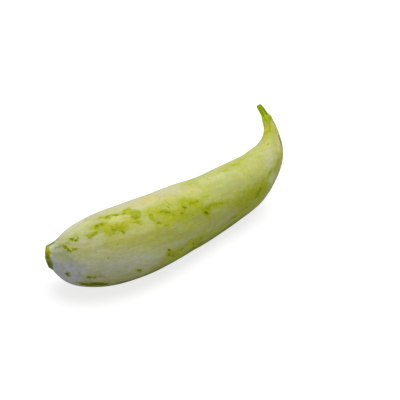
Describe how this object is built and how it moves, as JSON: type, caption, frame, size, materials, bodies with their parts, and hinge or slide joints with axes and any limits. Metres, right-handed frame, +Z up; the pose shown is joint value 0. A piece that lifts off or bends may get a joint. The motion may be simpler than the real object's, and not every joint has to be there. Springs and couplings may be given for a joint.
{
  "type": "snake gourd",
  "caption": "Short white snake gourd lying on its side: a thick body with a blunt flower end and a tapering neck that curls up into a short ribbed green stalk.",
  "frame": {"origin": "on the surface that the gourd lies on, under the middle of its bounding box", "axes": "+X along the body towards the neck and stalk, +Z up, +Y towards the side that the neck curls to"},
  "size_m": [0.229, 0.0818, 0.0755],
  "materials": {
    "gourd_skin": "waxy satin skin, pale cream green with bright green blotches and flecks, greyer at the flower end",
    "green_stalk": "fresh ribbed green stalk, satin, with a paler fibrous cut end"
  },
  "bodies": {
    "root": {"fruit": "gourd_skin", "stalk": "green_stalk"}
  },
  "joints": []
}
